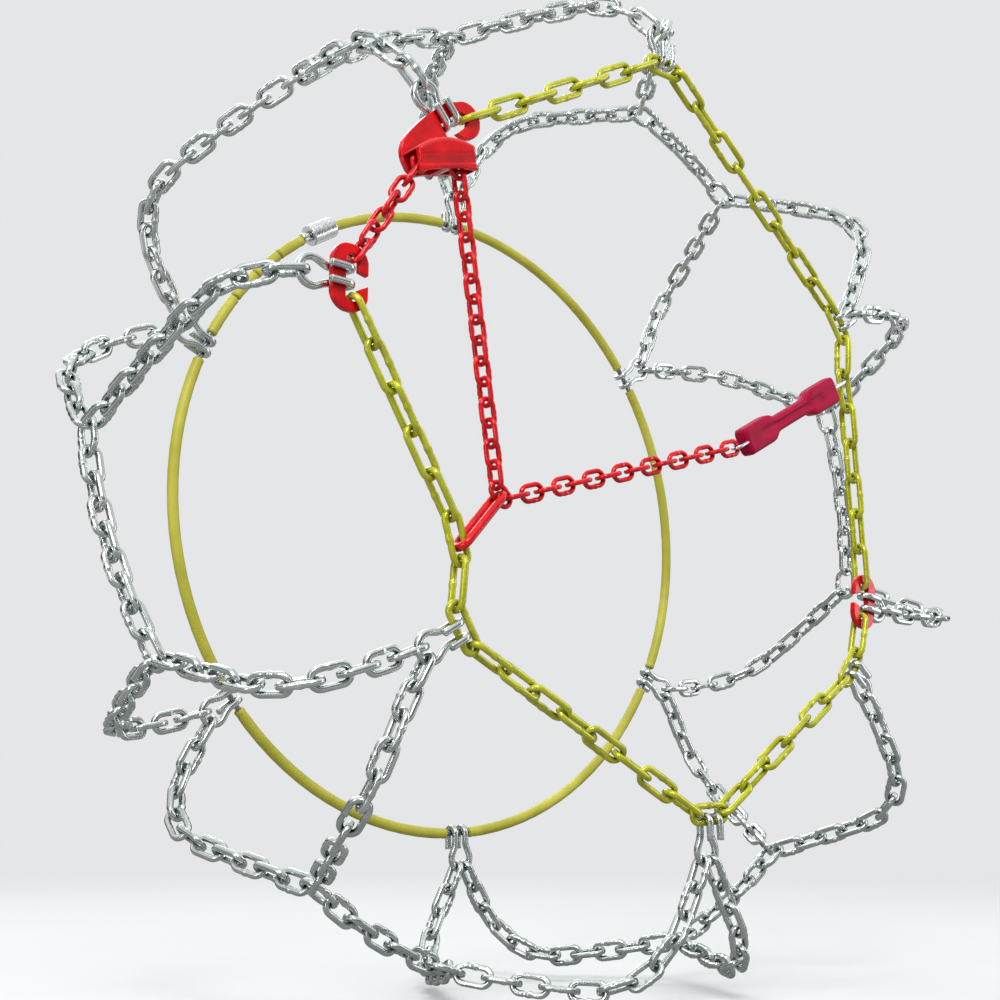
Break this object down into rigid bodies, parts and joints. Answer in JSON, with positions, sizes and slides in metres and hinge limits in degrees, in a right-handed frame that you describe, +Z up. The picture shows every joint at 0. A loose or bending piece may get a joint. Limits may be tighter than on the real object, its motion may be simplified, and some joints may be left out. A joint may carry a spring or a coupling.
{
  "type": "tire snow chain",
  "caption": "Fitted snow chain for a car tyre: diamond tread net, outer side chain with pull chain, lock plate and rubber tensioner, and an inner cable hoop.",
  "frame": {"origin": "centre of the wheel the chain is fitted to, midway between the side chain plane and the hoop plane", "axes": "Y along the wheel axis, -Y towards the outer face with the side chain, +Y towards the inner hoop; +Z up as the wheel stands; +X to the right seen from the outer face"},
  "size_m": [0.6614, 0.2584, 0.6566],
  "materials": {
    "zinc_steel": "glossy zinc plate",
    "yellow_coat": "glossy yellow coat",
    "red_coat": "glossy red coat",
    "bright_wire": "bright wire",
    "strap_rubber": "satin",
    "cable_steel": "stranded",
    "sheath_plastic": "satin",
    "coupling_metal": "satin"
  },
  "bodies": {
    "chain": {"chain_guide_hood": "red_coat", "connector_1": "zinc_steel", "connector_2": "zinc_steel", "connector_3": "zinc_steel", "connector_4": "zinc_steel", "connector_5": "zinc_steel", "connector_6": "zinc_steel", "corner_links": "zinc_steel", "coupling_socket": "coupling_metal", "diamond_1_inner_legs": "zinc_steel", "diamond_1_outer_legs": "zinc_steel", "diamond_2_inner_legs": "zinc_steel", "diamond_2_outer_legs": "zinc_steel", "diamond_3_inner_legs": "zinc_steel", "diamond_3_outer_legs": "zinc_steel", "diamond_4_inner_legs": "zinc_steel", "diamond_4_outer_legs": "zinc_steel", "diamond_5_inner_legs": "zinc_steel", "diamond_5_outer_legs": "zinc_steel", "diamond_6_inner_legs": "zinc_steel", "diamond_6_outer_legs": "zinc_steel", "guide_rivets": "bright_wire", "hoop_cable": "cable_steel", "hoop_sheaths": "sheath_plastic", "inner_fork_hooks": "zinc_steel", "lock_plate": "red_coat", "outer_fork_hooks": "zinc_steel", "pull_chain_drop": "red_coat", "pull_chain_upper": "red_coat", "shackle_plate_1": "red_coat", "shackle_plate_2": "red_coat", "side_chain_1": "yellow_coat", "side_chain_2": "yellow_coat", "side_chain_3": "yellow_coat", "side_chain_4": "yellow_coat", "side_chain_5": "yellow_coat", "side_chain_6": "yellow_coat", "side_chain_7": "yellow_coat", "tension_ring": "red_coat"},
    "tail_1": {"pull_chain_tail_1": "red_coat"},
    "tail_2": {"pull_chain_tail_2": "red_coat"},
    "tail_3": {"pull_chain_tail_3": "red_coat"},
    "tail_4": {"pull_chain_tail_4": "red_coat"},
    "tensioner": {"rubber_strap": "strap_rubber", "tensioner_eye": "bright_wire", "tensioner_hook": "bright_wire"},
    "hoop_arm_1": {"hoop_arm_1_cable": "cable_steel", "hoop_arm_1_sheath": "sheath_plastic"},
    "hoop_arm_2": {"hoop_arm_2_cable": "cable_steel", "hoop_arm_2_sheath": "sheath_plastic"},
    "hoop_arm_3": {"hoop_arm_3_cable": "cable_steel", "hoop_arm_3_sheath": "sheath_plastic", "coupling_knob": "coupling_metal"}
  },
  "joints": [
    {"name": "tail_1_lift", "type": "hinge", "parent": "chain", "child": "tail_1", "pos_m": [-0.14058, -0.11608, -0.0392], "axis": [0.2974, 0, -0.9548], "range_deg": [0, 30]},
    {"name": "tail_2_lift", "type": "hinge", "parent": "tail_1", "child": "tail_2", "pos_m": [-0.09223, -0.11699, -0.02414], "axis": [0.2974, 0, -0.9548], "range_deg": [0, 20]},
    {"name": "tail_3_lift", "type": "hinge", "parent": "tail_2", "child": "tail_3", "pos_m": [-0.04373, -0.1179, -0.00904], "axis": [0.2974, 0, -0.9548], "range_deg": [0, 20]},
    {"name": "tail_4_lift", "type": "hinge", "parent": "tail_3", "child": "tail_4", "pos_m": [0.00476, -0.11882, 0.00607], "axis": [0.2974, 0, -0.9548], "range_deg": [0, 20]},
    {"name": "tensioner_lift", "type": "hinge", "parent": "tail_4", "child": "tensioner", "pos_m": [0.05326, -0.11973, 0.02117], "axis": [0.4937, 0, -0.8696], "range_deg": [0, 40]},
    {"name": "hoop_arm_1_bend", "type": "hinge", "parent": "chain", "child": "hoop_arm_1", "pos_m": [-0.19068, 0.116, 0.12861], "axis": [-0.829, 0, 0.5592], "range_deg": [0, 14]},
    {"name": "hoop_arm_2_bend", "type": "hinge", "parent": "hoop_arm_1", "child": "hoop_arm_2", "pos_m": [-0.17533, 0.116, 0.14886], "axis": [-0.7623, 0, 0.6472], "range_deg": [0, 14]},
    {"name": "hoop_arm_3_bend", "type": "hinge", "parent": "hoop_arm_2", "child": "hoop_arm_3", "pos_m": [-0.15784, 0.116, 0.1673], "axis": [-0.6862, 0, 0.7274], "range_deg": [0, 14]}
  ],
  "couplings": [
    {"joint": "hoop_arm_2_bend", "follows": "hoop_arm_1_bend", "ratio": 1},
    {"joint": "hoop_arm_3_bend", "follows": "hoop_arm_1_bend", "ratio": 1}
  ]
}
